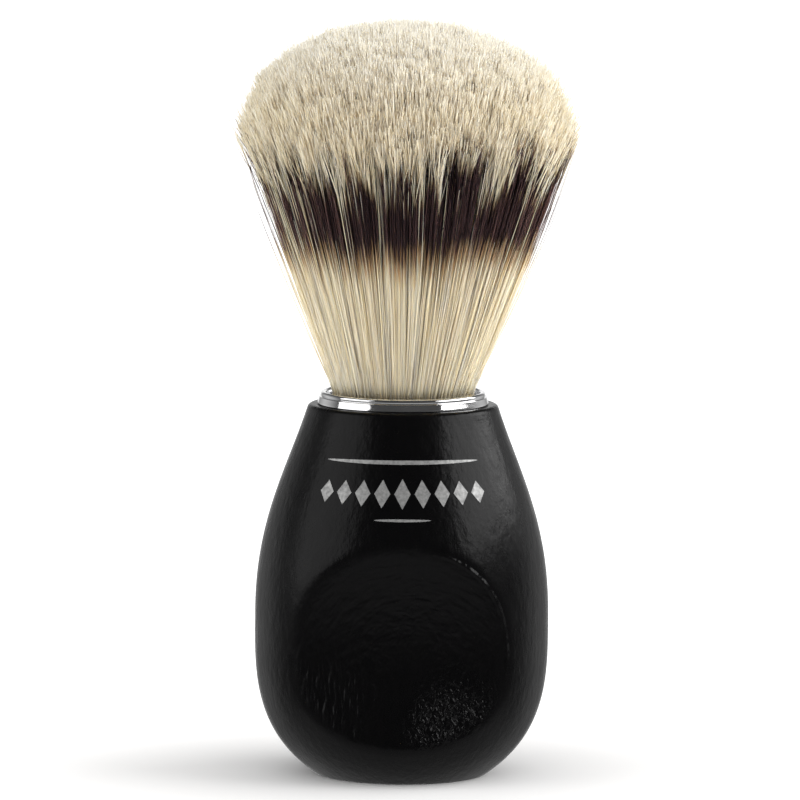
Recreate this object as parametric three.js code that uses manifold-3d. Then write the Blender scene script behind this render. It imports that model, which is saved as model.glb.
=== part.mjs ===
// Shaving brush: an egg-shaped turned wooden handle with a thumb dish, a chrome ferrule ring
// and a knot of natural bristles glued into a blind socket.
// Millimetres, +Z up, the origin at the centre of the flat foot that the brush stands on.
// The thumb dish faces -Y.

import * as THREE from 'three';
import { mergeVertices } from 'three/addons/utils/BufferGeometryUtils.js';
import Module from 'manifold-3d';

const wasm = await Module();
wasm.setup();

// ---- Driving dimensions ----

const GAP = 0.3; // clearance kept between pieces that touch

const HANDLE_TOP = 55.8; // height of the flat shoulder the ferrule sits on
const FOOT_RADIUS = 12.9; // flat foot
const BELLY_RADIUS = 22.05; // widest part of the egg
const BELLY_HEIGHT = 24.4;
const SHOULDER_RADIUS = 14.4; // side of the egg just under the shoulder's rounded edge
const SHOULDER_ROUND = 0.8; // rounded edge between side and shoulder
const SHOULDER_LEAN = THREE.MathUtils.degToRad(18); // lean of the side at the shoulder
const SHOULDER_PULL = 9.6; // how far the outline keeps that lean
const FOOT_RISE = THREE.MathUtils.degToRad(34); // rise of the outline where it leaves the foot
const FOOT_PULL = 11.8; // how far the outline keeps that rise
const BELLY_PULL_DOWN = 8.3; // how far the outline stays upright below and above the belly
const BELLY_PULL_UP = 13.7;

const SOCKET_RADIUS = 12.1; // blind bore for the knot and the ferrule's skirt
const SOCKET_FLOOR = 30;

const DISH_FLOOR = 17.4; // handle axis to the deepest line of the thumb dish
const DISH_HEIGHT = 18; // height of that line
const DISH_SIDE_RADIUS = 60; // the dish's level section, bulging outwards
const DISH_UPRIGHT_RADIUS = 52; // the dish's upright section, hollow

const RING_TOP = 57.7; // mouth of the ferrule, where the bristles come out
const RING_RADIUS = 12.85; // band that covers the socket's edge
const RING_BORE = 10.9;
const SKIRT_DEPTH = 12; // skirt length inside the socket
const LIP_TUBE = 0.45; // rolled lip round the mouth

const ROOT_RADIUS = 10.3; // bristle roots packed inside the ferrule
const WAIST_RADIUS = 9; // roots squeezed by the twine and by the resin plug
const PLUG_FLOOR_THICKNESS = 3.2;
const PLUG_WALL_HEIGHT = 3.4;
const GLUE_THICKNESS = 0.9;

const TWINE_DIAMETER = 1;
const TWINE_TURNS = 3;

const BEND_FOOT_RADIUS = 10.2; // ball-shaped foot of the free bristles, centred on the bend axis
const NECK_LATITUDE = THREE.MathUtils.degToRad(24); // where the neck leaves that ball
const FLANK_START = new THREE.Vector2(15.7, 14); // radius and height above the mouth
const BLOOM_RADIUS = 24.8; // widest part of the knot
const BLOOM_HEIGHT = 39.1; // its height above the mouth
const LOFT = 55.4; // free length of the bristles above the mouth

const ROUND_SEGMENTS = 48; // facets round a turned piece
const CURVE_STEPS = 14; // facets along a long curve of an outline
const EDGE_STEPS = 4; // facets round a small rounded edge

// ---- Finishes ----

const finish = (color, roughness, metalness) =>
  new THREE.MeshStandardMaterial({ color, roughness, metalness });

const BLACK_LACQUER = finish(0x0b0b0c, 0.3, 0);
const CHROME = finish(0xd9dadb, 0.08, 1);
const CREAM_BRISTLE = finish(0xd3c3a0, 0.75, 0);
const ROOT_BRISTLE = finish(0xb8a57e, 0.8, 0);
const AMBER_RESIN = finish(0xb98a3c, 0.25, 0);
const COTTON = finish(0xe4dcc8, 0.9, 0);
const EPOXY = finish(0xcfc7a8, 0.35, 0);

// ---- Shape helpers ----

// Solid of revolution about Z: points are (radius, height), going up the outside.
function turned(points, segments = ROUND_SEGMENTS) {
  return new THREE.LatheGeometry(points, segments).rotateX(Math.PI / 2);
}

// Points on an elliptical arc in the (radius, height) half-plane, both ends included.
// A point that comes out a hair off the axis is put exactly on it.
function ellipseArc(centre, radius, rise, startAngle, endAngle, steps) {
  return Array.from({ length: steps + 1 }, (_, i) => {
    const angle = startAngle + ((endAngle - startAngle) * i) / steps;
    const x = centre.x + radius * Math.cos(angle);
    return new THREE.Vector2(Math.abs(x) < 1e-6 ? 0 : x, centre.y + rise * Math.sin(angle));
  });
}

function arc(centreRadius, centreHeight, radius, startAngle, endAngle, steps) {
  const centre = new THREE.Vector2(centreRadius, centreHeight);
  return ellipseArc(centre, radius, radius, startAngle, endAngle, steps);
}

// Closed geometry as a manifold solid: only positions, with shared vertices merged.
function solidOf(geometry) {
  const bare = geometry.clone();
  bare.deleteAttribute('normal');
  bare.deleteAttribute('uv');
  const merged = mergeVertices(bare);
  return new wasm.Manifold(
    new wasm.Mesh({
      numProp: 3,
      vertProperties: new Float32Array(merged.attributes.position.array),
      triVerts: new Uint32Array(merged.index.array),
    }),
  );
}

// Manifold solid back to a geometry.
function geometryOf(solid) {
  const mesh = solid.getMesh();
  const geometry = new THREE.BufferGeometry();
  geometry.setAttribute('position', new THREE.BufferAttribute(mesh.vertProperties, 3));
  geometry.setIndex(new THREE.BufferAttribute(mesh.triVerts, 1));
  geometry.computeVertexNormals();
  return geometry;
}

function piece(name, geometry, material, height = 0) {
  const mesh = new THREE.Mesh(geometry, material.clone());
  mesh.name = name;
  mesh.position.z = height;
  return mesh;
}

// ---- Handle ----

// Egg outline: one cubic from the foot to the belly and one from the belly to the shoulder,
// both upright at the belly, then the rounded shoulder edge.
function eggOutline() {
  const belly = new THREE.Vector2(BELLY_RADIUS, BELLY_HEIGHT);
  const foot = new THREE.Vector2(FOOT_RADIUS, 0);
  const shoulder = new THREE.Vector2(
    SHOULDER_RADIUS + SHOULDER_ROUND * (1 - Math.cos(SHOULDER_LEAN)),
    HANDLE_TOP - SHOULDER_ROUND,
  );
  const lower = new THREE.CubicBezierCurve(
    foot,
    new THREE.Vector2(Math.cos(FOOT_RISE), Math.sin(FOOT_RISE))
      .multiplyScalar(FOOT_PULL)
      .add(foot),
    new THREE.Vector2(BELLY_RADIUS, BELLY_HEIGHT - BELLY_PULL_DOWN),
    belly,
  );
  const upper = new THREE.CubicBezierCurve(
    belly,
    new THREE.Vector2(BELLY_RADIUS, BELLY_HEIGHT + BELLY_PULL_UP),
    new THREE.Vector2(Math.sin(SHOULDER_LEAN), -Math.cos(SHOULDER_LEAN))
      .multiplyScalar(SHOULDER_PULL)
      .add(shoulder),
    shoulder,
  );
  const edge = arc(
    SHOULDER_RADIUS - SHOULDER_ROUND,
    HANDLE_TOP - SHOULDER_ROUND,
    SHOULDER_ROUND,
    SHOULDER_LEAN,
    Math.PI / 2,
    EDGE_STEPS,
  );
  return [
    ...lower.getPoints(CURVE_STEPS),
    ...upper.getPoints(CURVE_STEPS).slice(1, -1),
    ...edge,
  ];
}

// Waisted solid on an axis behind the handle: what lies outside it is cut away as the dish.
function dishEnvelope() {
  const reach = 50; // half height of the envelope, past both ends of the handle
  const waistSteps = 48;
  const facets = 192; // fine, because the dish shows only a narrow sector of the envelope
  const halfAngle = Math.asin(reach / DISH_UPRIGHT_RADIUS);
  const centreRadius = DISH_SIDE_RADIUS + DISH_UPRIGHT_RADIUS;
  const waist = arc(
    centreRadius,
    0,
    DISH_UPRIGHT_RADIUS,
    Math.PI + halfAngle,
    Math.PI - halfAngle,
    waistSteps,
  );
  const profile = [new THREE.Vector2(0, -reach), ...waist, new THREE.Vector2(0, reach)];
  return turned(profile, facets).translate(0, DISH_SIDE_RADIUS - DISH_FLOOR, DISH_HEIGHT);
}

function makeHandle() {
  const profile = [
    new THREE.Vector2(0, 0),
    ...eggOutline(),
    new THREE.Vector2(SOCKET_RADIUS, HANDLE_TOP),
    new THREE.Vector2(SOCKET_RADIUS, SOCKET_FLOOR),
    new THREE.Vector2(0, SOCKET_FLOOR),
  ];
  const egg = solidOf(turned(profile));
  return piece('handle', geometryOf(egg.intersect(solidOf(dishEnvelope()))), BLACK_LACQUER);
}

// ---- Ferrule ----

// One pressed ring: skirt down into the socket, band over the socket's edge, rolled lip on top.
function makeFerrule() {
  const bandBottom = HANDLE_TOP + GAP;
  const skirtBottom = HANDLE_TOP - SKIRT_DEPTH;
  const skirtRadius = SOCKET_RADIUS - GAP;
  const lipCentre = RING_TOP - LIP_TUBE;
  const lipRadius = RING_RADIUS - 2 * LIP_TUBE;
  const profile = [
    new THREE.Vector2(RING_BORE, skirtBottom),
    new THREE.Vector2(skirtRadius, skirtBottom),
    new THREE.Vector2(skirtRadius, bandBottom),
    new THREE.Vector2(RING_RADIUS, bandBottom),
    new THREE.Vector2(RING_RADIUS, lipCentre - LIP_TUBE / 2),
    ...arc(lipRadius, lipCentre, LIP_TUBE, 0, Math.PI, 2 * EDGE_STEPS),
    new THREE.Vector2(RING_BORE, lipCentre - LIP_TUBE / 2),
    new THREE.Vector2(RING_BORE, skirtBottom),
  ];
  return piece('ferrule_ring', turned(profile), CHROME);
}

// ---- Knot root, glued into the socket ----

const GLUE_BOTTOM = SOCKET_FLOOR + GAP;
const PLUG_BOTTOM = GLUE_BOTTOM + GLUE_THICKNESS + GAP;
const PLUG_FLOOR = PLUG_BOTTOM + PLUG_FLOOR_THICKNESS;
const PLUG_RIM = PLUG_FLOOR + PLUG_WALL_HEIGHT;
const ROOT_BOTTOM = PLUG_FLOOR + GAP;

// Epoxy on the socket floor, squeezed up a little round the plug's foot.
function makeGlueBed() {
  const outer = SOCKET_RADIUS - GAP;
  const inner = ROOT_RADIUS + GAP;
  const creep = 1.2; // how far the glue has crept up beside the plug
  const top = GLUE_THICKNESS;
  const profile = [
    new THREE.Vector2(0, 0),
    new THREE.Vector2(outer, 0),
    new THREE.Vector2(outer, top + creep),
    new THREE.Vector2(inner, top + creep / 2),
    new THREE.Vector2(inner, top),
    new THREE.Vector2(0, top),
  ];
  return piece('glue_bed', turned(profile), EPOXY, GLUE_BOTTOM);
}

// Resin cast round the root ends: a shallow cup with a chamfered foot.
function makeResinPlug() {
  const chamfer = 0.8;
  const height = PLUG_FLOOR_THICKNESS + PLUG_WALL_HEIGHT;
  const profile = [
    new THREE.Vector2(0, 0),
    new THREE.Vector2(ROOT_RADIUS - chamfer, 0),
    new THREE.Vector2(ROOT_RADIUS, chamfer),
    new THREE.Vector2(ROOT_RADIUS, height),
    new THREE.Vector2(WAIST_RADIUS + GAP, height),
    new THREE.Vector2(WAIST_RADIUS + GAP, PLUG_FLOOR_THICKNESS),
    new THREE.Vector2(0, PLUG_FLOOR_THICKNESS),
  ];
  return piece('resin_plug', turned(profile), AMBER_RESIN, PLUG_BOTTOM);
}

// Cotton twine wound round the roots above the plug, its turns one gap apart.
class TwineHelix extends THREE.Curve {
  getPoint(t, target = new THREE.Vector3()) {
    const turn = t * TWINE_TURNS;
    const radius = WAIST_RADIUS + GAP + TWINE_DIAMETER / 2;
    const angle = turn * 2 * Math.PI;
    return target.set(
      radius * Math.cos(angle),
      radius * Math.sin(angle),
      turn * (TWINE_DIAMETER + GAP),
    );
  }
}

const TWINE_START = PLUG_RIM + GAP + TWINE_DIAMETER;
const TWINE_END = TWINE_START + TWINE_TURNS * (TWINE_DIAMETER + GAP) + TWINE_DIAMETER;

function makeTwine() {
  const stepsPerTurn = 20;
  const section = new THREE.Shape().absarc(0, 0, TWINE_DIAMETER / 2, 0, 2 * Math.PI);
  const geometry = new THREE.ExtrudeGeometry(section, {
    curveSegments: EDGE_STEPS,
    steps: stepsPerTurn * TWINE_TURNS,
    bevelEnabled: false,
    extrudePath: new TwineHelix(),
  });
  return piece('binding_twine', geometry, COTTON, TWINE_START);
}

// Bristle roots: waisted where the plug and the twine hold them, full width in the skirt,
// with a bowl in the top that leaves room for the ball-shaped foot of the free bristles.
function makeRoots() {
  const bowlRadius = BEND_FOOT_RADIUS + GAP;
  const taper = 1; // height over which the roots widen again above the twine
  const rimDrop = Math.sqrt(bowlRadius ** 2 - ROOT_RADIUS ** 2);
  const rimAngle = -Math.asin(rimDrop / bowlRadius);
  const bowl = arc(0, RING_TOP, bowlRadius, rimAngle, -Math.PI / 2, CURVE_STEPS);
  const profile = [
    new THREE.Vector2(0, ROOT_BOTTOM),
    new THREE.Vector2(WAIST_RADIUS, ROOT_BOTTOM),
    new THREE.Vector2(WAIST_RADIUS, TWINE_END),
    new THREE.Vector2(ROOT_RADIUS, TWINE_END + taper),
    ...bowl,
  ];
  return piece('bristle_roots', turned(profile), ROOT_BRISTLE);
}

// ---- Free bristles ----

// The loft as one soft solid: ball foot, flaring flank and a domed top, which is half an ellipse.
// Its own origin is the bend axis, at the centre of the ferrule's mouth.
function makeBristleBundle() {
  const foot = arc(0, 0, BEND_FOOT_RADIUS, -Math.PI / 2, NECK_LATITUDE, CURVE_STEPS);
  const dome = ellipseArc(
    new THREE.Vector2(0, BLOOM_HEIGHT),
    BLOOM_RADIUS,
    LOFT - BLOOM_HEIGHT,
    0,
    Math.PI / 2,
    CURVE_STEPS,
  );
  return piece('bristle_bundle', turned([...foot, FLANK_START, ...dome]), CREAM_BRISTLE, RING_TOP);
}

// ---- Assembly ----

const brush = new THREE.Group();

const knotRoot = new THREE.Group();
knotRoot.add(makeGlueBed(), makeResinPlug(), makeTwine(), makeRoots());

brush.add(makeHandle(), makeFerrule(), knotRoot, makeBristleBundle());

export default brush;
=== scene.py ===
import math

import bpy
import numpy as np
from mathutils import Matrix, Vector


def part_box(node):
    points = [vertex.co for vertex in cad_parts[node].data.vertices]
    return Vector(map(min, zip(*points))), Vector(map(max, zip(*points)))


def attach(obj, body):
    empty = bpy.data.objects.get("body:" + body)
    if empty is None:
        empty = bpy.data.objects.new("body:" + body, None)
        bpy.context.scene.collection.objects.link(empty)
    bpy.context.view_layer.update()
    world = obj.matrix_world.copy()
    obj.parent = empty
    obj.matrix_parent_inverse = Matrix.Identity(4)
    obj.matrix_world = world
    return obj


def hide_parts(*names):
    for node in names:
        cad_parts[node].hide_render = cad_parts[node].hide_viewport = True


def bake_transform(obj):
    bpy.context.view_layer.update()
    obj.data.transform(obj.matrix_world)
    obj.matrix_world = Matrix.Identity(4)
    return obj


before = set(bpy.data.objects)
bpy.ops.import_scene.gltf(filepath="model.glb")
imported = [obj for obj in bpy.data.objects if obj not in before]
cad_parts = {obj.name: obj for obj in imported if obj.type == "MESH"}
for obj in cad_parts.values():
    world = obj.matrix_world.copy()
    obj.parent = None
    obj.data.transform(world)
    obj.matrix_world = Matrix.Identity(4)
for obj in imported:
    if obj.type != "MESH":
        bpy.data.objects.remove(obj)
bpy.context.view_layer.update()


# ---------------------------------------------------------------------------
# Handle: one piece of fine-grained beech, turned to an egg with a flat foot
# and a flat shoulder, then cut in front for the thumb. Dipped in black
# lacquer, which sinks a little into the grain where the cut opens it.

_, handle_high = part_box("handle")
SHOULDER = handle_high.z                # height of the flat shoulder
BELLY = handle_high.x                   # widest radius of the egg
BELLY_HEIGHT = 0.0244
FOOT = 0.0129                           # radius of the flat foot
FOOT_RISE = math.radians(34)            # rise of the outline where it leaves the foot
FOOT_PULL = 0.0118                      # how far the outline keeps that rise
BELLY_PULL_DOWN = 0.0083                # how far it stays upright below and above the belly
BELLY_PULL_UP = 0.0137
SIDE_TOP = 0.0144                       # radius of the side just under the shoulder
SIDE_LEAN = math.radians(18)            # lean of the side there
SIDE_PULL = 0.0096                      # how far the outline keeps that lean
SHOULDER_ROUND = 0.0008
SOCKET = 0.0121                         # blind bore that takes the knot
SOCKET_FLOOR = 0.030
SOCKET_EDGE = 0.0002                    # rounded edge of the bore

DISH_FLOOR = 0.0174                     # handle axis to the deepest line of the thumb dish
DISH_HEIGHT = 0.018                     # height of that line
DISH_SIDE = 0.060                       # level section of the dish, bulging outwards
DISH_UPRIGHT = 0.052                    # upright section of the dish, hollow
DISH_RIM = 0.0009                       # how far the rim between egg and dish is rounded

ROUND = 2 * math.pi


def cubic(a, b, c, d, steps):
    """Bezier cubic through the plane: (1-t)^3 a + 3(1-t)^2 t b + 3(1-t) t^2 c + t^3 d."""
    t = np.linspace(0, 1, steps + 1)[:, None]
    a, b, c, d = (np.array(p, float) for p in (a, b, c, d))
    return (1 - t) ** 3 * a + 3 * (1 - t) ** 2 * t * b + 3 * (1 - t) * t * t * c + t ** 3 * d


def line(a, b, steps):
    """Points on a straight line, with the first left out."""
    t = np.linspace(0, 1, steps + 1)[1:, None]
    return (1 - t) * np.array(a, float) + t * np.array(b, float)


def arc(centre, radius, start, end, steps):
    """Points on a circle in the plane of radius and height, the first left out."""
    angle = np.linspace(start, end, steps + 1)[1:, None]
    return np.array(centre, float) + radius * np.hstack((np.cos(angle), np.sin(angle)))


def new_piece(name, points, faces, material, smooth=True):
    """Puts points and faces into a mesh object of that name, with one material."""
    mesh = bpy.data.meshes.new(name)
    mesh.from_pydata(points.tolist(), [], faces)
    mesh.polygons.foreach_set("use_smooth", np.full(len(mesh.polygons), smooth))
    mesh.materials.append(material)
    mesh.update()
    piece = bpy.data.objects.new(name, mesh)
    bpy.context.scene.collection.objects.link(piece)
    return piece


def turned_faces(rows, columns, poles):
    """Faces of a surface of revolution whose rings follow one another up the profile.
    With poles, the first and last points are single ones on the axis, closed by fans;
    without, the last ring joins the first."""
    j = np.arange(columns)
    k = (j + 1) % columns
    if not poles:
        i = np.arange(rows)[:, None] * columns
        up = (i + columns) % (rows * columns)
        return np.stack((i + j, i + k, up + k, up + j), -1).reshape(-1, 4).tolist()
    i = np.arange(rows - 3)[:, None] * columns + 1
    body = np.stack((i + j, i + k, i + columns + k, i + columns + j), -1).reshape(-1, 4)
    last_ring = 1 + (rows - 3) * columns
    top = last_ring + columns
    bottom_fan = np.stack((np.zeros_like(j), k + 1, j + 1), -1)
    top_fan = np.stack((last_ring + j, last_ring + k, np.full_like(j, top)), -1)
    return body.tolist() + bottom_fan.tolist() + top_fan.tolist()


def egg_outline():
    """Side of the handle from the foot's edge to the shoulder: two cubics that meet upright
    at the belly, then the rounded edge of the shoulder."""
    belly = (BELLY, BELLY_HEIGHT)
    below_belly = (BELLY, BELLY_HEIGHT - BELLY_PULL_DOWN)
    above_belly = (BELLY, BELLY_HEIGHT + BELLY_PULL_UP)
    foot_pull = (FOOT + FOOT_PULL * math.cos(FOOT_RISE), FOOT_PULL * math.sin(FOOT_RISE))
    side_end = (SIDE_TOP + SHOULDER_ROUND * (1 - math.cos(SIDE_LEAN)), SHOULDER - SHOULDER_ROUND)
    side_pull = (side_end[0] + SIDE_PULL * math.sin(SIDE_LEAN),
                 side_end[1] - SIDE_PULL * math.cos(SIDE_LEAN))
    lower = cubic((FOOT, 0), foot_pull, below_belly, belly, 80)
    upper = cubic(belly, above_belly, side_pull, side_end, 90)
    edge_centre = (SIDE_TOP - SHOULDER_ROUND, SHOULDER - SHOULDER_ROUND)
    edge = arc(edge_centre, SHOULDER_ROUND, SIDE_LEAN, math.pi / 2, 8)
    return np.vstack((lower, upper[1:], edge))


def dish_reach(angle, height):
    """Distance from the handle's axis to the dish's surface, level and at that angle round it.
    The surface is a waist turned about an upright axis behind the handle: its radius at a
    height is DISH_SIDE plus what an arc of DISH_UPRIGHT rises there, and the level ray meets
    that circle at a sin(angle) + sqrt(a^2 sin(angle)^2 - a^2 + radius^2)."""
    waist = DISH_SIDE + DISH_UPRIGHT - np.sqrt(DISH_UPRIGHT ** 2 - (height - DISH_HEIGHT) ** 2)
    behind = DISH_SIDE - DISH_FLOOR
    side = behind * np.sin(angle)
    return side + np.sqrt(side ** 2 - behind ** 2 + waist ** 2)


def handle_radius(angle, radius, height):
    """The lesser of the egg's radius and the dish's, with the edge between them rounded:
    min(a, b) - h^2 r / 4, where h = 1 - |a - b| / r within r of each other, else 0.
    Also returns how much of the surface is dish there, from 0 to 1."""
    dish = dish_reach(angle, height)
    near = np.clip(1 - np.abs(radius - dish) / DISH_RIM, 0, 1)
    share = np.clip(0.5 + (radius - dish) / (2 * DISH_RIM), 0, 1)
    return np.minimum(radius, dish) - near ** 2 * DISH_RIM / 4, share


def handle_shape(columns):
    """Rings of the whole handle: foot, egg with its dish, shoulder, socket wall and floor."""
    foot = line((0, 0), (FOOT - 0.0003, 0), 6)
    edge = (SOCKET + SOCKET_EDGE, SHOULDER - SOCKET_EDGE)
    shoulder = line((SIDE_TOP - SHOULDER_ROUND, SHOULDER), (edge[0], SHOULDER), 4)
    mouth = arc(edge, SOCKET_EDGE, math.pi / 2, math.pi, 4)
    wall = line((SOCKET, edge[1]), (SOCKET, SOCKET_FLOOR), 12)
    floor = line((SOCKET, SOCKET_FLOOR), (0.001, SOCKET_FLOOR), 5)
    profile = np.vstack((foot, egg_outline(), shoulder, mouth, wall, floor))
    angle = np.arange(columns) * ROUND / columns
    radius, share = handle_radius(angle, profile[:, :1], profile[:, 1:])
    height = np.broadcast_to(profile[:, 1:], radius.shape)
    rings = np.stack((radius * np.cos(angle), radius * np.sin(angle), height), -1).reshape(-1, 3)
    points = np.vstack(([[0, 0, 0]], rings, [[0, 0, SOCKET_FLOOR]]))
    cut = np.concatenate(([0], share.ravel(), [0]))
    return points, turned_faces(len(profile) + 2, columns, poles=True), cut


def node_group(name, inputs, outputs):
    """A shader node group with those sockets: inputs are (name, type, default)."""
    group = bpy.data.node_groups.new(name, "ShaderNodeTree")
    for label, kind, value in inputs:
        made = group.interface.new_socket(name=label, in_out="INPUT", socket_type=kind)
        if value is not None:
            made.default_value = value
    for label, kind in outputs:
        group.interface.new_socket(name=label, in_out="OUTPUT", socket_type=kind)
    return group, group.nodes.new("NodeGroupInput"), group.nodes.new("NodeGroupOutput")


def add(tree, kind, **settings):
    """A node of that kind. A setting that names an input sets its default, as a_b for 'A B'."""
    node = tree.nodes.new(kind)
    for key, value in settings.items():
        if hasattr(node, key):
            setattr(node, key, value)
        else:
            node.inputs[key.replace("_", " ").title()].default_value = value
    return node


def maths(tree, operation, a, b=0.0, c=0.0, clamp=False):
    """A Math node; a, b and c are numbers or sockets. Returns its output."""
    node = tree.nodes.new("ShaderNodeMath")
    node.operation = operation
    node.use_clamp = clamp
    for socket, value in zip(node.inputs, (a, b, c)):
        if isinstance(value, bpy.types.NodeSocket):
            tree.links.new(value, socket)
        else:
            socket.default_value = value
    return node.outputs[0]


def spread(tree, value, low, high, to_low, to_high, smooth=False):
    """A Map Range node from low..high to to_low..to_high, clamped. Returns its output."""
    node = tree.nodes.new("ShaderNodeMapRange")
    node.interpolation_type = "SMOOTHSTEP" if smooth else "LINEAR"
    for socket, number in zip(node.inputs[:5], (value, low, high, to_low, to_high)):
        if isinstance(number, bpy.types.NodeSocket):
            tree.links.new(number, socket)
        else:
            socket.default_value = number
    return node.outputs["Result"]


def mixed(tree, share, a, b):
    """A colour mix from a to b by share. Colours are tuples or sockets."""
    node = tree.nodes.new("ShaderNodeMix")
    node.data_type = "RGBA"
    for name, value in (("Factor", share), ("A", a), ("B", b)):
        socket = next(s for s in node.inputs
                      if s.name == name and (name == "Factor" or s.type == "RGBA"))
        if isinstance(value, bpy.types.NodeSocket):
            tree.links.new(value, socket)
        elif name == "Factor":
            socket.default_value = value
        else:
            socket.default_value = (*value, 1)
    return next(s for s in node.outputs if s.type == "RGBA")


def uneven_group():
    """Shared by every hard finish here: a soft, cloudy noise put out as a number between Low
    and High, for roughness or shade, and as a small height for the bump."""
    group, given, result = node_group(
        "uneven_finish",
        [("Vector", "NodeSocketVector", None), ("Scale", "NodeSocketFloat", 300.0),
         ("Low", "NodeSocketFloat", 0.0), ("High", "NodeSocketFloat", 1.0)],
        [("Value", "NodeSocketFloat"), ("Height", "NodeSocketFloat")],
    )
    noise = add(group, "ShaderNodeTexNoise", Detail=3.0, Roughness=0.55)
    group.links.new(given.outputs["Vector"], noise.inputs["Vector"])
    group.links.new(given.outputs["Scale"], noise.inputs["Scale"])
    low, high = given.outputs["Low"], given.outputs["High"]
    value = spread(group, noise.outputs["Fac"], 0.3, 0.7, low, high)
    group.links.new(value, result.inputs["Value"])
    group.links.new(noise.outputs["Fac"], result.inputs["Height"])
    return group


uneven = uneven_group()


def place_group(tree, group, vector, **values):
    """Puts a node group into a material's tree, fed with a vector and plain values."""
    node = tree.nodes.new("ShaderNodeGroup")
    node.node_tree = group
    tree.links.new(vector, node.inputs["Vector"])
    for key, value in values.items():
        node.inputs[key].default_value = value
    return node


def new_material(name, **sockets):
    """A material with one Principled shader; sockets are plain values by input name."""
    material = bpy.data.materials.new(name)
    material.use_nodes = True
    tree = material.node_tree
    shader = tree.nodes["Principled BSDF"]
    for key, value in sockets.items():
        shader.inputs[key.replace("_", " ")].default_value = value
    return material, tree, shader


def object_place(tree, offset=(0, 0, 0), scale=(1, 1, 1)):
    """Object coordinates through a Mapping node. Returns the vector."""
    source = tree.nodes.new("ShaderNodeTexCoord")
    mapping = tree.nodes.new("ShaderNodeMapping")
    mapping.inputs["Location"].default_value = offset
    mapping.inputs["Scale"].default_value = scale
    tree.links.new(source.outputs["Object"], mapping.inputs["Vector"])
    return mapping.outputs["Vector"]


def bump(tree, shader, layers):
    """Chains Bump nodes into the shader's Normal: layers are (height socket, distance, strength)."""
    last = None
    for height, distance, strength in layers:
        node = tree.nodes.new("ShaderNodeBump")
        node.inputs["Distance"].default_value = distance
        if isinstance(strength, bpy.types.NodeSocket):
            tree.links.new(strength, node.inputs["Strength"])
        else:
            node.inputs["Strength"].default_value = strength
        tree.links.new(height, node.inputs["Height"])
        if last is not None:
            tree.links.new(last, node.inputs["Normal"])
        last = node.outputs["Normal"]
    tree.links.new(last, shader.inputs["Normal"])


def patch(tree, centre, inner, outer):
    """A round patch of the surface: 1 within inner of the centre, 0 beyond outer, seen from
    the front."""
    x, y, z = centre
    far = add(tree, "ShaderNodeVectorMath", operation="LENGTH")
    tree.links.new(object_place(tree, offset=(-x, 0, -z), scale=(1, 0, 1)), far.inputs[0])
    return spread(tree, far.outputs["Value"], inner, outer, 1.0, 0.0, smooth=True)


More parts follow.
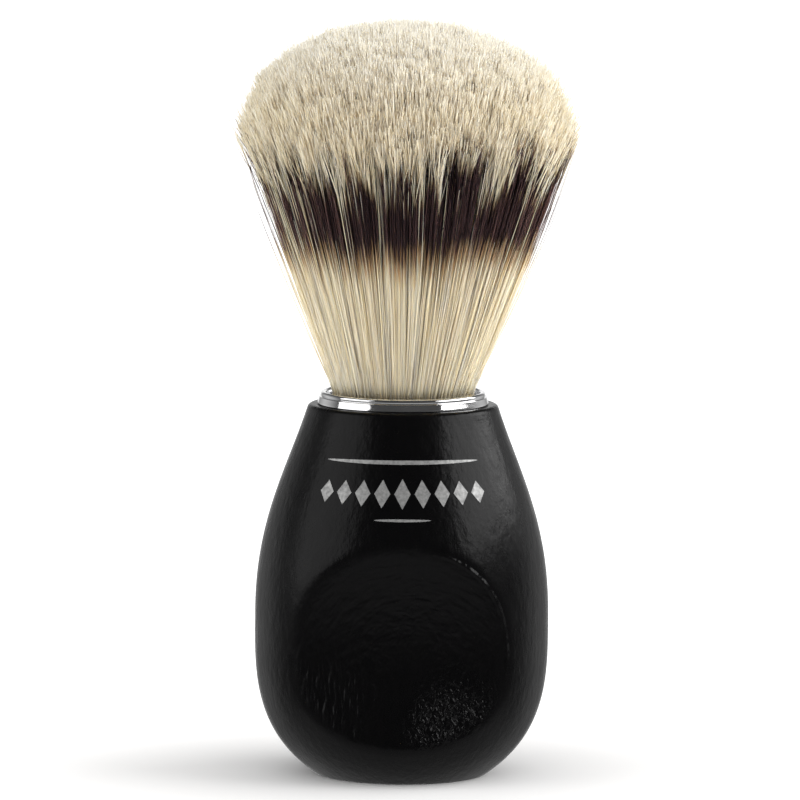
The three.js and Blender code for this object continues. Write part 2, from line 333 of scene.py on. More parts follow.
def black_lacquer():
    """Black lacquer over beech. The scooped dish cuts the growth rings into nested rounds,
    which stand as broken ridges under the lacquer. Cut fibres streak the dish's lower left,
    open pores pebble its lower right, where lacquer has pooled and shines more, and a bead of
    lacquer has run along the rim above. The rest of the handle has only a faint grain along
    its length and turning lines near the shoulder."""
    material, tree, shader = new_material("black_lacquer", IOR=1.45, Specular_IOR_Level=0.17)
    here = object_place(tree)
    split = tree.nodes.new("ShaderNodeSeparateXYZ")
    tree.links.new(object_place(tree, offset=(-0.0015, 0, -0.0165)), split.inputs[0])
    across, up = split.outputs["X"], split.outputs["Z"]
    off_centre = maths(tree, "SQRT", maths(tree, "ADD", maths(tree, "MULTIPLY", across, across),
                                           maths(tree, "MULTIPLY", up, up)))
    safe = maths(tree, "MAXIMUM", off_centre, 0.0005)
    nested = tree.nodes.new("ShaderNodeCombineXYZ")
    rings_per_metre, breaks = 950.0, 5.5
    tree.links.new(maths(tree, "MULTIPLY", off_centre, rings_per_metre), nested.inputs["X"])
    for way, axis in ((across, "Y"), (up, "Z")):
        turn = maths(tree, "DIVIDE", way, safe)
        tree.links.new(maths(tree, "MULTIPLY", turn, breaks), nested.inputs[axis])
    rings = add(tree, "ShaderNodeTexNoise", Scale=1.0, Detail=1.0, Roughness=0.5, Distortion=0.3)
    tree.links.new(nested.outputs["Vector"], rings.inputs["Vector"])
    pores = add(tree, "ShaderNodeTexNoise", Scale=1350.0, Detail=2.0, Roughness=0.5, Distortion=0.4)
    tree.links.new(object_place(tree, scale=(1, 1, 0.6)), pores.inputs["Vector"])
    grain = add(tree, "ShaderNodeTexNoise", Scale=900.0, Detail=3.0, Roughness=0.6)
    tree.links.new(object_place(tree, scale=(1, 1, 0.5)), grain.inputs["Vector"])
    cloud = place_group(tree, uneven, here, Scale=260.0, Low=0.25, High=0.31)
    dish = tree.nodes.new("ShaderNodeAttribute")
    dish.attribute_name = "dish"
    cut = dish.outputs["Fac"]
    colour = mixed(tree, grain.outputs["Fac"], (0.0008, 0.0008, 0.0010), (0.0018, 0.0016, 0.0018))
    tree.links.new(colour, shader.inputs["Base Color"])
    pebbled = patch(tree, (0.0078, 0, 0.0092), 0.0010, 0.0115)
    pooled = maths(tree, "MULTIPLY", cut, spread(tree, pebbled, 0.0, 0.8, 0.02, -0.09))
    tree.links.new(maths(tree, "ADD", cloud.outputs["Value"], pooled), shader.inputs["Roughness"])
    streaked = patch(tree, (-0.0090, 0, 0.0140), 0.0010, 0.0110)
    streaks = add(tree, "ShaderNodeTexNoise", Scale=1500.0, Detail=1.0, Distortion=0.3)
    tree.links.new(object_place(tree, scale=(1, 1, 0.22)), streaks.inputs["Vector"])
    pits = spread(tree, pores.outputs["Fac"], 0.36, 0.62, 0.0, 1.0, smooth=True)
    ridges = spread(tree, rings.outputs["Fac"], 0.28, 0.70, 0.0, 1.0)
    clear = maths(tree, "MULTIPLY", cut, spread(tree, off_centre, 0.002, 0.007, 0.0, 0.7))
    off_rim = maths(tree, "ABSOLUTE", maths(tree, "SUBTRACT", cut, 0.5))
    bead = spread(tree, off_rim, 0.0, 0.16, 1.0, 0.0, smooth=True)
    fat = maths(tree, "MULTIPLY", patch(tree, (0.0105, 0, 0.0265), 0.0060, 0.0120),
                spread(tree, pores.outputs["Fac"], 0.38, 0.58, 0.2, 1.0))
    turned_lines = add(tree, "ShaderNodeTexNoise", Scale=2600.0, Detail=1.0)
    tree.links.new(object_place(tree, scale=(0.12, 0.12, 1)), turned_lines.inputs["Vector"])
    near_shoulder = spread(tree, up, 0.026, 0.038, 0.1, 0.8)
    bump(tree, shader, [
        (ridges, 0.00009, clear),
        (pits, 0.00032, maths(tree, "MULTIPLY", cut, pebbled)),
        (streaks.outputs["Fac"], 0.00036, maths(tree, "MULTIPLY", cut, streaked)),
        (bead, 0.00026, fat),
        (turned_lines.outputs["Fac"], 0.00003, near_shoulder),
        (grain.outputs["Fac"], 0.00011, 0.8),
        (cloud.outputs["Height"], 0.00003, 0.25),
    ])
    return material


handle_points, handle_faces, dish_share = handle_shape(columns=352)
handle = new_piece("lacquered_handle", handle_points, handle_faces, black_lacquer())
dish_layer = handle.data.attributes.new("dish", "FLOAT", "POINT")
dish_layer.data.foreach_set("value", dish_share.astype(np.float32))
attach(handle, "handle")
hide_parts("handle")


# ---------------------------------------------------------------------------
# Printed decoration: silver ink transferred to the lacquer above the dish, a
# tapered rule, a row of lozenges and a short rule, all generic. The ink stands
# a few hundredths of a millimetre proud and follows the round of the handle.

INK = 0.00003                           # thickness of the ink over the lacquer
PRINT_HEIGHT = 0.0443                   # middle of the row of lozenges
PRINT_WIDTH = 0.0270
LOZENGES = 9


def egg_radius(height):
    """Radius of the egg at a height, read off its outline."""
    outline = egg_outline()
    return np.interp(height, outline[:, 1], outline[:, 0])


def printed_shape(centre, height, length, width, power):
    """A closed flake of ink wrapped on the front of the handle. Along its length s runs from
    -1 to 1 and its half width is width/2 (1 - |s|^power)^(1/power): power 1 is a lozenge,
    2 an ellipse, more a bar. The angle round the handle is the level distance over the radius."""
    s = np.linspace(-1, 1, 41)[:, None]
    half = np.maximum(width / 2 * (1 - np.abs(s) ** power) ** (1 / power), width * 0.01)
    level = centre + s * length / 2 + np.zeros((1, 5))
    z = height + half * np.linspace(-1, 1, 5)[None, :]
    angle = level / egg_radius(height)
    skins = []
    for lift in (-INK, INK):
        radius = egg_radius(z) + lift
        skins.append(np.stack((radius * np.sin(angle), -radius * np.cos(angle), z), -1))
    points = np.stack(skins).reshape(-1, 3)
    rows, columns = s.shape[0], 5
    i = np.arange(rows - 1)[:, None] * columns + np.arange(columns - 1)
    outer = i + rows * columns
    back = np.stack((i, i + 1, i + columns + 1, i + columns), -1).reshape(-1, 4)
    front = np.stack((outer, outer + columns, outer + columns + 1, outer + 1), -1).reshape(-1, 4)
    rim = np.concatenate((
        np.arange(rows) * columns,
        (rows - 1) * columns + np.arange(1, columns),
        np.arange(rows - 2, -1, -1) * columns + columns - 1,
        np.arange(columns - 2, 0, -1),
    ))
    after = np.roll(rim, -1)
    shift = rows * columns
    walls = np.stack((rim, after, after + shift, rim + shift), -1)
    return points, np.vstack((back, front, walls))


def silver_ink():
    """Silver ink: fine metal flakes in a clear binder, a little thin in places."""
    material, tree, shader = new_material("silver_ink", Metallic=0.55, IOR=1.45)
    wear = place_group(tree, uneven, object_place(tree), Scale=1800.0, Low=0.0, High=1.0)
    colour = mixed(tree, wear.outputs["Value"], (0.20, 0.20, 0.20), (0.36, 0.36, 0.355))
    tree.links.new(colour, shader.inputs["Base Color"])
    tree.links.new(spread(tree, wear.outputs["Height"], 0.3, 0.7, 0.55, 0.38), shader.inputs["Roughness"])
    bump(tree, shader, [(wear.outputs["Height"], 0.00001, 0.3)])
    return material


def printed_decoration():
    """All the flakes of ink as one piece: (centre, height, length, width, power) of each."""
    marks = [(0, PRINT_HEIGHT + 0.0045, PRINT_WIDTH * 0.9, 0.0006, 2.0),
             (0, PRINT_HEIGHT - 0.0038, 0.0085, 0.0004, 2.0)]
    pitch = PRINT_WIDTH / LOZENGES
    for n in range(LOZENGES):
        off = n - (LOZENGES - 1) / 2
        tall = 0.0044 - 0.0003 * abs(off)
        marks.append((off * pitch, PRINT_HEIGHT, pitch * 0.8, tall, 1.0))
    points, faces, count = [], [], 0
    for mark in marks:
        p, f = printed_shape(*mark)
        points.append(p)
        faces.append(f + count)
        count += len(p)
    return np.vstack(points), np.vstack(faces).tolist()


decoration = new_piece("printed_decoration", *printed_decoration(), silver_ink(), smooth=False)
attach(decoration, "handle")


# ---------------------------------------------------------------------------
# Glue bed, resin plug and binding twine: sealed in the socket under the
# ferrule. Epoxy on the socket floor holds the cast resin plug, the plug holds
# the root ends, and the twine gathered them before the resin was poured.


def glue_or_resin(name, thin, thick, rough):
    """Cast resin or epoxy: cloudy, with streaks where it was stirred."""
    material, tree, shader = new_material(name, IOR=1.5)
    cloud = place_group(tree, uneven, object_place(tree), Scale=220.0, Low=0.0, High=1.0)
    tree.links.new(mixed(tree, cloud.outputs["Value"], thin, thick), shader.inputs["Base Color"])
    tree.links.new(spread(tree, cloud.outputs["Height"], 0.3, 0.7, rough, rough + 0.15),
                   shader.inputs["Roughness"])
    bump(tree, shader, [(cloud.outputs["Height"], 0.0001, 0.3)])
    return material


def cotton_twine():
    """Twisted cotton: slanting plies across the cord, with a little lint."""
    material, tree, shader = new_material("cotton_twine", Sheen_Weight=0.3)
    plies = add(tree, "ShaderNodeTexWave", wave_type="BANDS", bands_direction="DIAGONAL",
                Scale=320.0, Distortion=1.5, Detail=2.0)
    tree.links.new(object_place(tree), plies.inputs["Vector"])
    lint = place_group(tree, uneven, object_place(tree), Scale=2500.0, Low=0.75, High=0.95)
    colour = mixed(tree, plies.outputs["Fac"], (0.52, 0.46, 0.36), (0.78, 0.73, 0.62))
    tree.links.new(colour, shader.inputs["Base Color"])
    tree.links.new(lint.outputs["Value"], shader.inputs["Roughness"])
    bump(tree, shader, [(plies.outputs["Fac"], 0.0002, 0.6), (lint.outputs["Height"], 0.0001, 0.4)])
    return material


hidden_finishes = {
    "glue_bed": glue_or_resin("cured_epoxy", (0.60, 0.55, 0.40), (0.74, 0.70, 0.56), 0.30),
    "resin_plug": glue_or_resin("amber_resin", (0.34, 0.19, 0.05), (0.55, 0.35, 0.12), 0.18),
    "binding_twine": cotton_twine(),
}
for node, material in hidden_finishes.items():
    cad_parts[node].data.materials.clear()
    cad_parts[node].data.materials.append(material)


# ---------------------------------------------------------------------------
# Ferrule ring: brass pressing with bright chrome plate. A skirt goes down into
# the socket, a low band covers the socket's edge, and the mouth above it is
# rolled into a round lip.

ring_low, ring_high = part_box("ferrule_ring")
MOUTH = ring_high.z                     # height of the mouth, where the bristles come out
RING = ring_high.x
BORE = 0.0109
SKIRT = 0.0118
LIP = 0.00045                           # radius of the rolled lip
BAND_TOP = MOUTH - 0.00075


def ring_shape(columns):
    """Closed profile carried round the axis: skirt, band with eased edges, groove, rolled lip."""
    ease = 0.00012                      # radius of the band's edges
    cone = 0.00022                      # how far the band leans in from bottom to top
    seat = SHOULDER + 0.00002
    lip_centre = (RING - 2 * LIP, MOUTH - LIP)
    profile = np.vstack((
        [[BORE, ring_low.z]],
        line((BORE, ring_low.z), (SKIRT, ring_low.z), 2),
        line((SKIRT, ring_low.z), (SKIRT, seat), 8),
        line((SKIRT, seat), (RING - ease, seat), 3),
        arc((RING - ease, seat + ease), ease, -math.pi / 2, 0, 6),
        line((RING, seat + ease), (RING - cone, BAND_TOP - ease), 4),
        arc((RING - cone - ease, BAND_TOP - ease), ease, 0, math.pi / 2, 6),
        line((RING - cone - ease, BAND_TOP), (lip_centre[0] + LIP * 0.8, BAND_TOP - 0.00002), 2),
        arc(lip_centre, LIP, math.radians(-30), math.radians(200), 22),
        line((lip_centre[0] - LIP, lip_centre[1] - LIP * 0.4), (BORE, MOUTH - 0.0012), 4),
        line((BORE, MOUTH - 0.0012), (BORE, ring_low.z), 10)[:-1],
    ))
    angle = np.arange(columns) * ROUND / columns
    radius, height = profile[:, :1], np.repeat(profile[:, 1:], columns, 1)
    points = np.stack((radius * np.cos(angle), radius * np.sin(angle), height), -1).reshape(-1, 3)
    return points, turned_faces(len(profile), columns, poles=False)


def chrome_plate():
    """Bright chrome: almost a mirror, with polishing lines round it and faint finger marks."""
    material, tree, shader = new_material("chrome_plate", Metallic=1.0)
    smears = place_group(tree, uneven, object_place(tree), Scale=240.0, Low=0.05, High=0.13)
    tree.links.new(smears.outputs["Value"], shader.inputs["Roughness"])
    shade = mixed(tree, smears.outputs["Height"], (0.70, 0.70, 0.71), (0.86, 0.86, 0.86))
    tree.links.new(shade, shader.inputs["Base Color"])
    lines = add(tree, "ShaderNodeTexNoise", Scale=300.0, Detail=2.0)
    tree.links.new(object_place(tree, scale=(1, 1, 60)), lines.inputs["Vector"])
    bump(tree, shader, [(lines.outputs["Fac"], 0.000004, 0.25), (smears.outputs["Height"], 0.00002, 0.2)])
    return material


ferrule = new_piece("chrome_ferrule", *ring_shape(columns=288), chrome_plate())
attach(ferrule, "handle")
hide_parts("ferrule_ring")


# ---------------------------------------------------------------------------
# Bristles: each one a separate tapered hair, cream with a dyed dark band,
# rooted in the resin plug, gathered by the twine and packed through the
# ferrule. They fan out from the mouth and are trimmed by length to a dome.

_, bundle_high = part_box("bristle_bundle")
roots_low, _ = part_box("bristle_roots")
_, twine_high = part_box("binding_twine")
BLOOM = bundle_high.x * 0.995           # widest radius of the fan
BLOOM_HEIGHT = 0.0391                   # its height above the mouth
LOFT = bundle_high.z - MOUTH            # height of the dome's top above the mouth
MOUTH_PACK = 0.0106                     # radius of the bundle at the mouth
SKIRT_PACK = 0.0102                     # and inside the skirt
WAIST_PACK = 0.0089                     # and where the twine holds it
BRISTLES = 14000
TUFTS = 520                             # bristles lean together in tufts towards the tips
KIN = 16                                # bristles of a tuft are of one kin, each of a kind within it
KINDS = KIN * KIN                       # kinds of bristle by shade and by band, one map column each
MAP_FOOT = roots_low.z                  # the map runs up from this height
MAP_SPAN = 0.082                        # over this much height
BRISTLE_MAP = "OFBake"                  # map layer: across, the kind; up, the height on the bristle
BOW = 0.00042                           # spreads of how far a single tip bows and leans
LEAN = 0.00055
WAVE = 0.00016                          # height of the slight wave in a bristle
PULL = 0.4                              # greatest share that a tip is drawn to its tuft
TUFT_LEAN = 0.00042                     # spread of how far a whole tuft leans
BULGE = 0.0020                          # how strongly the knot bulges to the right
SET_BACK = 0.0002                       # how far its top stands back to the left
BAND_LOW = 43.5                         # band's lower and upper edges, millimetres up the map
BAND_HIGH = 57.2
STRAW = (0.82, 0.63, 0.37)
PALE_STRAW = (0.91, 0.76, 0.50)
TIP_CREAM = (0.92, 0.80, 0.58)
# ROOT_SHADE darkens the bristles at the lip: painted shade under the lip, with some glue wicked into the
# roots
ROOT_SHADE = 0.45                       # share of its brightness that a bristle keeps at the lip
WARM_BROWN = (0.30, 0.16, 0.07)
BAND_DARK = (0.016, 0.009, 0.010)
LIP_HEIGHT = 22.7                       # height of the ferrule's lip on the map, millimetres

random = np.random.default_rng(20)


def fan_radius(rise):
    """Outer radius of the fan at a rise above the mouth: a straight flare."""
    return MOUTH_PACK + (BLOOM - MOUTH_PACK) * rise / BLOOM_HEIGHT


def dome_rise(share):
    """Rise at which a bristle that keeps that share of the fan's radius meets the dome, an
    ellipse BLOOM wide and LOFT - BLOOM_HEIGHT high. Found by halving the interval 24 times."""
    low = np.zeros_like(share)
    high = np.full_like(share, LOFT)
    for _ in range(24):
        middle = (low + high) / 2
        across = share * fan_radius(middle) / BLOOM
        up = np.maximum(middle - BLOOM_HEIGHT, 0) / (LOFT - BLOOM_HEIGHT)
        inside = across ** 2 + up ** 2 < 1
        low, high = np.where(inside, middle, low), np.where(inside, high, middle)
    return low


def fan_places(root, free):
    """Places along each free bristle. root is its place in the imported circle, of radius 1, and
    free the rises above the mouth, one row a bristle. With t the rise over the loft, the place
    is root times the fan's radius + BOW n1 t^2 + LEAN n2 t + WAVE t sin(9 t + n3), where n1 and
    n2 are normal and n3 is a random turn."""
    count = len(free)
    t = (free / LOFT)[:, :, None]
    flat = root[:, None, :] * fan_radius(free)[:, :, None]
    bow = random.normal(0, BOW, (count, 1, 2)) * t ** 2
    lean = random.normal(0, LEAN, (count, 1, 2)) * t
    turn = random.uniform(0, ROUND, (count, 1, 2))
    return flat + bow + lean + WAVE * np.sin(9 * t + turn) * t


def gather(places, free, centre, lean):
    """Draws bristles towards the centre of their tuft as they rise, and leans them with it. The
    pull begins at a quarter of the loft, grows with the power 1.5 of the rise, and differs from
    bristle to bristle, up to PULL at the tips. The lean grows with the square of the rise."""
    t = free / LOFT
    pull = np.clip((t - 0.25) / 0.75, 0, 1) ** 1.5 * random.uniform(0.0, PULL, (len(free), 1))
    target = centre[:, None, :] * fan_radius(free)[:, :, None]
    leaning = lean[:, None, :] * (t ** 2)[:, :, None]
    return places + pull[:, :, None] * (target - places) + leaning


def bristle_mesh(name, spine, radius, kind, material):
    """Tapered three-sided hairs as one mesh. spine is (hairs, stations, 3) and radius (hairs,
    stations). Each ring lies level, its corners a third of a turn apart, and both ends are
    closed. The map's columns are the kinds, and its rows the height."""
    hairs, stations, _ = spine.shape
    turn = random.uniform(0, ROUND, (hairs, 1, 1)) + np.arange(3) * ROUND / 3
    ring = np.stack((np.cos(turn), np.sin(turn), np.zeros_like(turn)), -1)
    points = spine[:, :, None, :] + radius[:, :, None, None] * ring
    start = np.arange(hairs)[:, None, None] * stations * 3
    step = start + np.arange(stations - 1)[None, :, None] * 3
    j = np.arange(3)
    k = (j + 1) % 3
    sides = np.stack((step + j, step + k, step + k + 3, step + j + 3), -1).reshape(-1, 4)
    last = start.reshape(-1, 1) + (stations - 1) * 3
    bottoms = start.reshape(-1, 1) + np.array([0, 2, 1])
    tops = last + np.array([0, 1, 2])
    faces = sides.tolist() + bottoms.tolist() + tops.tolist()
    piece = new_piece(name, points.reshape(-1, 3), faces, material)
    across = (kind[:, None] + 0.2 + 0.6 * np.arange(4) / 3) / KINDS
    up = (spine[:, :, 2] - MAP_FOOT) / MAP_SPAN
    left = np.broadcast_to(across[:, None, :3], (hairs, stations - 1, 3))
    right = np.broadcast_to(across[:, None, 1:], (hairs, stations - 1, 3))
    low = np.broadcast_to(up[:, :-1, None], left.shape)
    high = np.broadcast_to(up[:, 1:, None], left.shape)
    side_map = np.stack((left, low, right, low, right, high, left, high), -1).reshape(-1, 2)
    corner = across[:, :3]
    foot_map = np.stack((corner[:, [0, 2, 1]], np.repeat(up[:, :1], 3, 1)), -1).reshape(-1, 2)
    tip_map = np.stack((corner, np.repeat(up[:, -1:], 3, 1)), -1).reshape(-1, 2)
    layer = piece.data.uv_layers.new(name=BRISTLE_MAP)
    layer.data.foreach_set("uv", np.vstack((side_map, foot_map, tip_map)).astype(np.float32).ravel())
    return piece


def lottery(tree, number):
    """White noise of a whole number: the node itself, and its colour split into three numbers."""
    chance = add(tree, "ShaderNodeTexWhiteNoise", noise_dimensions="1D")
    tree.links.new(number, chance.inputs["W"])
    odds = tree.nodes.new("ShaderNodeSeparateColor")
    tree.links.new(chance.outputs["Color"], odds.inputs["Color"])
    return chance, odds


def bristle_finish():
    """Natural bristle. The map gives the kind and the height, in millimetres above the roots.
    Each kin and each kind shifts the band's edges, most a little and a few far upwards, and
    some kinds have next to no band; the lower edge goes through orange brown, and the tips
    are paler."""
    material, tree, shader = new_material(
        "natural_bristle", IOR=1.45, Specular_IOR_Level=0.2, Subsurface_Weight=0.8,
        Subsurface_Scale=0.0005, Subsurface_Radius=(1.0, 0.85, 0.6),
    )
    source = tree.nodes.new("ShaderNodeUVMap")
    source.uv_map = BRISTLE_MAP
    split = tree.nodes.new("ShaderNodeSeparateXYZ")
    tree.links.new(source.outputs["UV"], split.inputs[0])
    kind = maths(tree, "FLOOR", maths(tree, "MULTIPLY", split.outputs["X"], KINDS))
    height = maths(tree, "MULTIPLY", split.outputs["Y"], MAP_SPAN * 1000)
    chance, odds = lottery(tree, kind)
    kin = maths(tree, "FLOOR", maths(tree, "DIVIDE", kind, KIN))
    _, kin_odds = lottery(tree, maths(tree, "ADD", kin, 0.5))
    low_shift = maths(tree, "ADD", spread(tree, odds.outputs["Red"], 0.0, 1.0, -2.1, 2.1),
                      spread(tree, kin_odds.outputs["Red"], 0.0, 1.0, -1.2, 1.2))
    taller = maths(tree, "POWER", odds.outputs["Green"], 2.0)
    taller_kin = maths(tree, "POWER", kin_odds.outputs["Green"], 2.0)
    high_shift = maths(tree, "ADD", spread(tree, taller, 0.0, 1.0, -2.8, 5.5),
                       spread(tree, taller_kin, 0.0, 1.0, -3.4, 5.0))
    low = maths(tree, "SUBTRACT", height, low_shift)
    high = maths(tree, "SUBTRACT", height, high_shift)
    rise = spread(tree, low, BAND_LOW - 0.6, BAND_LOW + 2.2, 0.0, 1.0, smooth=True)
    warm = spread(tree, low, BAND_LOW - 3.4, BAND_LOW - 0.2, 0.0, 1.0, smooth=True)
    fall = spread(tree, high, BAND_HIGH - 1.8, BAND_HIGH + 2.2, 1.0, 0.0, smooth=True)
    plain = maths(tree, "GREATER_THAN", chance.outputs["Value"], 0.92)
    banded = spread(tree, plain, 0.0, 1.0, 1.0, 0.12)
    under_top = maths(tree, "MULTIPLY", fall, banded)
    dark = maths(tree, "MULTIPLY", rise, under_top)
    brown = maths(tree, "MULTIPLY", maths(tree, "MULTIPLY", warm, under_top), 0.9)
    straw = mixed(tree, odds.outputs["Blue"], STRAW, PALE_STRAW)
    tips = spread(tree, height, BAND_HIGH + 7, MAP_SPAN * 1000 - 5, 0.0, 1.0, smooth=True)
    cream = mixed(tree, tips, straw, TIP_CREAM)
    coloured = mixed(tree, dark, mixed(tree, brown, cream, WARM_BROWN), BAND_DARK)
    streak = add(tree, "ShaderNodeTexNoise", noise_dimensions="2D", Scale=1.0, Detail=2.0)
    stretched = add(tree, "ShaderNodeVectorMath", operation="MULTIPLY")
    stretched.inputs[1].default_value = (KINDS * 0.9, 26.0, 1.0)
    tree.links.new(source.outputs["UV"], stretched.inputs[0])
    tree.links.new(stretched.outputs[0], streak.inputs["Vector"])
    # shade: random streaks along each bristle, times a darkening at the ferrule's lip that is painted
    # shade, partly glue wicked into the roots
    shade = maths(tree, "MULTIPLY", spread(tree, streak.outputs["Fac"], 0.3, 0.7, 0.88, 1.0),
                  spread(tree, height, LIP_HEIGHT - 0.5, LIP_HEIGHT + 2.5, ROOT_SHADE, 1.0, smooth=True))
    toned = add(tree, "ShaderNodeHueSaturation")
    tree.links.new(shade, toned.inputs["Value"])
    tree.links.new(coloured, toned.inputs["Color"])
    tree.links.new(toned.outputs["Color"], shader.inputs["Base Color"])
    tree.links.new(spread(tree, streak.outputs["Fac"], 0.3, 0.7, 0.38, 0.55), shader.inputs["Roughness"])
    return material


bristle_look = bristle_finish()


def packed_roots(count):
    """Even random places in a circle of radius 1, sorted from the middle outwards."""
    distance = np.sqrt((np.arange(count) + random.uniform(0, 1, count)) / count)
    turn = random.uniform(0, ROUND, count)
    return np.stack((distance * np.cos(turn), distance * np.sin(turn)), -1), distance


def sway(places, rise):
    """The knot bulges a little to the right halfway up: by BULGE t (1 - t) - SET_BACK t^4, with
    t the rise over the loft."""
    t = rise / LOFT
    return places + np.stack((BULGE * t * (1 - t) - SET_BACK * t ** 4, np.zeros_like(t)), -1)


root_place, root_share = packed_roots(BRISTLES)
tuft_centre = packed_roots(TUFTS)[0]
tuft_lean = random.normal(0, TUFT_LEAN, (TUFTS, 2))
tuft_trim = random.normal(-0.0005, 0.00018, TUFTS)
tip_rise = dome_rise(root_share)
own_tuft = ((root_place[:, None, :] - tuft_centre[None]) ** 2).sum(-1).argmin(1)
tip_rise += tuft_trim[own_tuft] + random.normal(0, 0.0004, BRISTLES)
tip_rise -= random.exponential(0.0012, BRISTLES) * (root_share > 0.8)
FREE_STEPS = np.array([0, 0.13, 0.29, 0.46, 0.63, 0.79, 0.91, 1.0])
rises = tip_rise[:, None] * FREE_STEPS
free_places = fan_places(root_place, rises)
free_places = gather(free_places, rises, tuft_centre[own_tuft], tuft_lean[own_tuft])
free_places = sway(free_places, rises)
free_spine = np.concatenate((free_places, MOUTH + rises[:, :, None]), -1)
held = [(roots_low.z + 0.0002, WAIST_PACK), (twine_high.z + 0.0003, WAIST_PACK),
        (twine_high.z + 0.0020, SKIRT_PACK)]
held_spine = np.stack(
    [np.column_stack((root_place * pack, np.full(BRISTLES, height))) for height, pack in held], 1)
spine = np.concatenate((held_spine, free_spine), 1)
thickness = random.uniform(0.000080, 0.000112, (BRISTLES, 1))
TAPER = np.array([0.9, 0.9, 0.9, 0.95, 1.0, 1.0, 1.0, 0.9, 0.75, 0.55, 0.3])
tuft_kin = random.integers(0, KIN, TUFTS)
bristle_kind = tuft_kin[own_tuft] * KIN + random.integers(0, KIN, BRISTLES)

layers = ["bristles_core", "bristles_inner", "bristles_middle", "bristles_outer", "bristles_mantle"]
for name, those in zip(layers, np.array_split(np.arange(BRISTLES), len(layers))):
    tapered = thickness[those] * TAPER
    bristles = bristle_mesh(name, spine[those], tapered, bristle_kind[those], bristle_look)
    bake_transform(bristles)
    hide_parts("bristle_bundle", "bristle_roots")


# ---------------------------------------------------------------------------
# Split ends: natural bristles fray at the tip into several finer ends, which
# give the dome its soft, pale surface. Each springs from its bristle a few
# millimetres below the tip and spreads a little.

SPLITS = 6

for part, those in enumerate(np.array_split(np.arange(BRISTLES), 4)):
    base = np.repeat(free_spine[those, -3], SPLITS, 0)
    tip = np.repeat(free_spine[those, -1], SPLITS, 0)
    start = random.uniform(0.0, 0.6, (len(base), 1))
    base += start * (tip - base)
    aside = random.normal(0, 0.00060, (len(base), 2))
    longer = random.normal(0, 0.00030, len(base))
    tip += np.column_stack((aside, longer))
    ends = np.stack((base, tip), 1)
    fine = np.repeat(thickness[those], SPLITS, 0) * np.array([0.70, 0.46])
    kinds = np.repeat(bristle_kind[those], SPLITS)
    split_ends = bristle_mesh(f"split_ends_{part + 1}", ends, fine, kinds, bristle_look)
    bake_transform(split_ends)


# ---------------------------------------------------------------------------
# Short bristles: hairs cut from shorter stock fill the outside of the knot
# from the mouth to the dark band, where most of them end.

SHORTS = 5600
short_share = np.sqrt(random.uniform(0.72, 1.0, SHORTS))
short_turn = random.uniform(0, ROUND, SHORTS)
short_root = np.column_stack((np.cos(short_turn), np.sin(short_turn))) * short_share[:, None]
short_rise = random.uniform(0.014, 0.034, SHORTS)[:, None] * np.linspace(0, 1, 6)
short_rise[:, 0] = -0.004
short_flat = sway(fan_places(short_root, short_rise), short_rise)
short_spine = np.concatenate((short_flat, MOUTH + short_rise[:, :, None]), -1)
short_fine = random.uniform(0.000070, 0.000100, (SHORTS, 1)) * np.array([1.0, 1.0, 1.0, 0.9, 0.7, 0.3])
short_kind = random.integers(0, KINDS, SHORTS)
shorts = bristle_mesh("short_bristles", short_spine, short_fine, short_kind, bristle_look)
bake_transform(shorts)


# ---------------------------------------------------------------------------
# Stray bristles: a few hairs at the rim of the mouth that stand off the fan
# and curve back towards it near their tips.

STRAYS = 160
RIM_SHARE = 0.985                       # share of the fan's radius that they are rooted at
stray_turn = random.uniform(0, ROUND, STRAYS)
stray_way = np.column_stack((np.cos(stray_turn), np.sin(stray_turn)))
stray_rise = random.uniform(0.026, 0.043, STRAYS)[:, None] * np.linspace(0, 1, 10)
stray_off = random.uniform(0.0006, 0.0029, (STRAYS, 1)) * np.sin(stray_rise / LOFT * 2.9)
stray_reach = fan_radius(stray_rise) * RIM_SHARE + stray_off
stray_drift = random.normal(0, 0.0012, (STRAYS, 1, 2)) * ((stray_rise / LOFT) ** 2)[:, :, None]
stray_flat = stray_way[:, None, :] * stray_reach[:, :, None] + stray_drift
stray_spine = np.concatenate((sway(stray_flat, stray_rise), MOUTH + stray_rise[:, :, None]), -1)
stray_fine = random.uniform(0.000045, 0.00007, (STRAYS, 1)) * np.linspace(1.0, 0.4, 10)
stray_kind = random.integers(0, KINDS, STRAYS)
strays = bristle_mesh("stray_bristles", stray_spine, stray_fine, stray_kind, bristle_look)
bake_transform(strays)


# ---------------------------------------------------------------------------
# Studio: a white floor in a white room. A wide soft light stands on the right
# and a weaker, squarer one on the left. In reflections the room is dark in
# front, so that the lacquer stays black and the chrome has something to show.

FLOOR_SIDE = 6.0


def studio_floor():
    """A wide white floor. Away from the brush it glows a little, painted light, so that it runs on evenly
    into the white room, and its colour is greyer under the brush: a painted shadow."""
    material, tree, shader = new_material("white_floor", Roughness=0.9, Specular_IOR_Level=0.1)
    source = tree.nodes.new("ShaderNodeTexCoord")
    far = add(tree, "ShaderNodeVectorMath", operation="LENGTH")
    tree.links.new(source.outputs["Object"], far.inputs[0])
    distance = far.outputs["Value"]
    # painted shadow: the floor's colour is greyer within 2 cm of the brush and whitens out to 30 cm
    near = spread(tree, distance, 0.02, 0.3, 0.0, 1.0, smooth=True)
    white = mixed(tree, near, (0.83, 0.825, 0.82), (0.93, 0.93, 0.93))
    tree.links.new(white, shader.inputs["Base Color"])
    shader.inputs["Emission Color"].default_value = (1.0, 1.0, 1.0, 1.0)
    # painted light: beyond a centimetre from the brush the floor glows, rising to full by 9 cm
    glow = spread(tree, distance, 0.010, 0.09, 0.0, 0.36, smooth=True)
    tree.links.new(glow, shader.inputs["Emission Strength"])
    half = FLOOR_SIDE / 2
    corners = np.array([[-half, -half, 0], [half, -half, 0], [half, half, 0], [-half, half, 0]])
    return new_piece("studio_floor", corners, [(0, 1, 2, 3)], material, smooth=False)


floor = studio_floor()
floor.visible_glossy = False


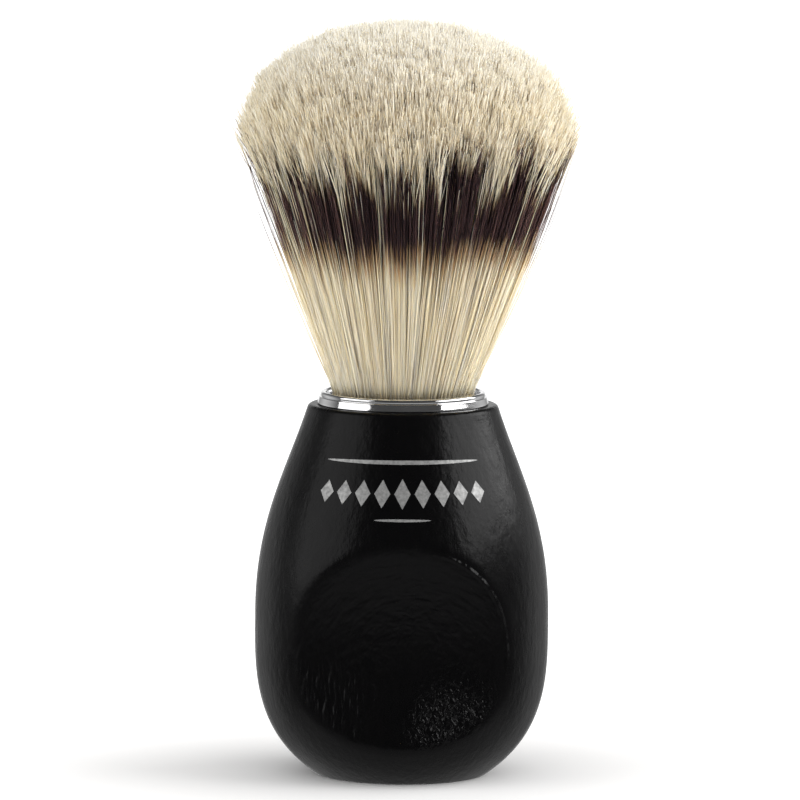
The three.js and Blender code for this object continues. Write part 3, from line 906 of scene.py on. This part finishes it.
def soft_light(name, azimuth, elevation, distance, size, radiance):
    """A rectangular light aimed at the middle of the brush. Azimuth 0 is towards the camera
    and 90 to the right. Its power is pi times its area times its radiance."""
    data = bpy.data.lights.new(name, "AREA")
    data.shape = "RECTANGLE"
    data.size, data.size_y = size
    data.energy = math.pi * size[0] * size[1] * radiance
    light = bpy.data.objects.new(name, data)
    bpy.context.scene.collection.objects.link(light)
    a, e = math.radians(azimuth), math.radians(elevation)
    way = Vector((math.sin(a) * math.cos(e), -math.cos(a) * math.cos(e), math.sin(e)))
    light.location = way * distance + Vector((0, 0, 0.06))
    light.rotation_euler = way.to_track_quat("Z", "Y").to_euler()


soft_light("right_softbox", 90, 27, 1.3, (1.7, 0.66), 4.35)
soft_light("left_softbox", -73, 18, 1.5, (1.4, 1.2), 1.6)


def studio_room():
    """The room's light. The camera sees white. Soft light comes from all round, over twice as
    much of it from the front. In reflections the room is white behind the brush, pale below
    and beside it, fading upwards and forwards, and dark towards the camera."""
    world = bpy.data.worlds.new("studio_room")
    world.use_nodes = True
    tree = world.node_tree
    back = tree.nodes["Background"]
    ways = tree.nodes.new("ShaderNodeTexCoord")
    split = tree.nodes.new("ShaderNodeSeparateXYZ")
    tree.links.new(ways.outputs["Generated"], split.inputs[0])
    side, behind, up = split.outputs
    white = spread(tree, behind, 0.88, 0.99, 0.0, 1.0, smooth=True)
    below = spread(tree, up, -0.2, -0.6, 0.06, 0.5, smooth=True)
    beside = maths(tree, "POWER", maths(tree, "ABSOLUTE", side), 1.3)
    forwards = spread(tree, behind, 0.2, 0.7, 0.18, 1.0)
    upwards = spread(tree, up, 0.0, 0.5, 1.0, 0.25)
    fading = maths(tree, "MULTIPLY", forwards, upwards)
    walls = maths(tree, "MULTIPLY", beside, fading)
    room = maths(tree, "MAXIMUM", maths(tree, "MAXIMUM", white, below), walls)
    path = tree.nodes.new("ShaderNodeLightPath")
    soft = spread(tree, behind, -1.0, -0.4, 1.80, 0.80, smooth=True)
    glossy = spread(tree, path.outputs["Is Glossy Ray"], 0.0, 1.0, soft, room)
    light = spread(tree, path.outputs["Is Camera Ray"], 0.0, 1.0, glossy, 1.0)
    tree.links.new(light, back.inputs["Strength"])
    back.inputs["Color"].default_value = (1.0, 1.0, 1.0, 1.0)
    bpy.context.scene.world = world


studio_room()
bpy.context.scene.view_settings.view_transform = "Standard"

AIM = 0.0563                            # height that the camera looks at
CAMERA_DISTANCE = 1.2073
CAMERA_ELEVATION = math.radians(6.3)
CAMERA_ROLL = math.radians(0.385)
CAMERA_SIDE = -0.00046                  # how far it stands off the middle
VIEW_WIDTH = 0.120                      # width of the view at the brush
SENSOR = 36.0

camera_data = bpy.data.cameras.new("camera")
camera_data.sensor_width = SENSOR
camera_data.lens = SENSOR * CAMERA_DISTANCE / VIEW_WIDTH
camera_data.clip_start = 0.05
camera = bpy.data.objects.new("camera", camera_data)
bpy.context.scene.collection.objects.link(camera)
camera.location = (
    CAMERA_SIDE,
    -CAMERA_DISTANCE * math.cos(CAMERA_ELEVATION),
    AIM + CAMERA_DISTANCE * math.sin(CAMERA_ELEVATION),
)
level = Matrix.Rotation(math.pi / 2 - CAMERA_ELEVATION, 3, "X")
camera.rotation_euler = (level @ Matrix.Rotation(CAMERA_ROLL, 3, "Z")).to_euler()
bpy.context.scene.camera = camera
